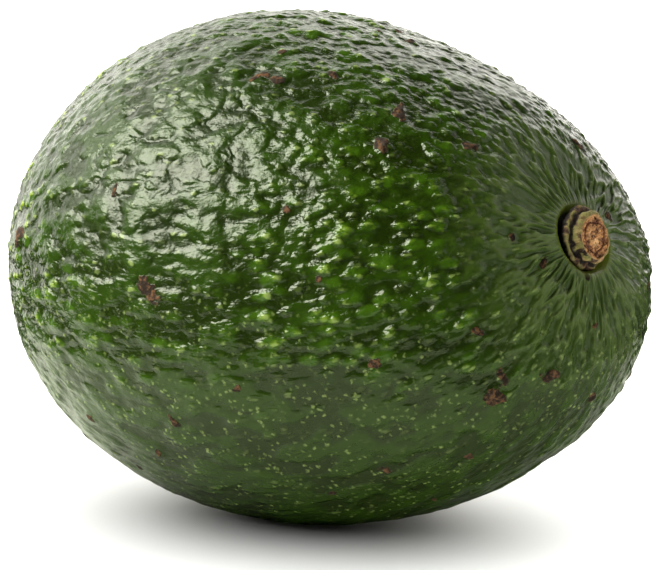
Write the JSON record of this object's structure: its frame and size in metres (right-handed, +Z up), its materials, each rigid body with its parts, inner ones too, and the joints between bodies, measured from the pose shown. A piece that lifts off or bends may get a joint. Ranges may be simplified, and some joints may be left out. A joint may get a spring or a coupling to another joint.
{
  "type": "avocado",
  "caption": "Whole green avocado with pebbled glossy skin and a short cut stem stub, lying on its side.",
  "frame": {"origin": "middle of the bottom of the bounding box, on the surface that the fruit lies on", "axes": "+X from the blossom end to the stem end along the longest extent, +Z up, +Y to the left when looking along +X"},
  "size_m": [0.0914, 0.073, 0.0685],
  "materials": {
    "skin": "waxy, glossy, pebbled green rind with pale yellow-green specks and small brown corky scabs",
    "stem": "dry bark round a rough cut wood face"
  },
  "bodies": {
    "root": {"fruit": "skin", "stem": "stem"}
  },
  "joints": []
}
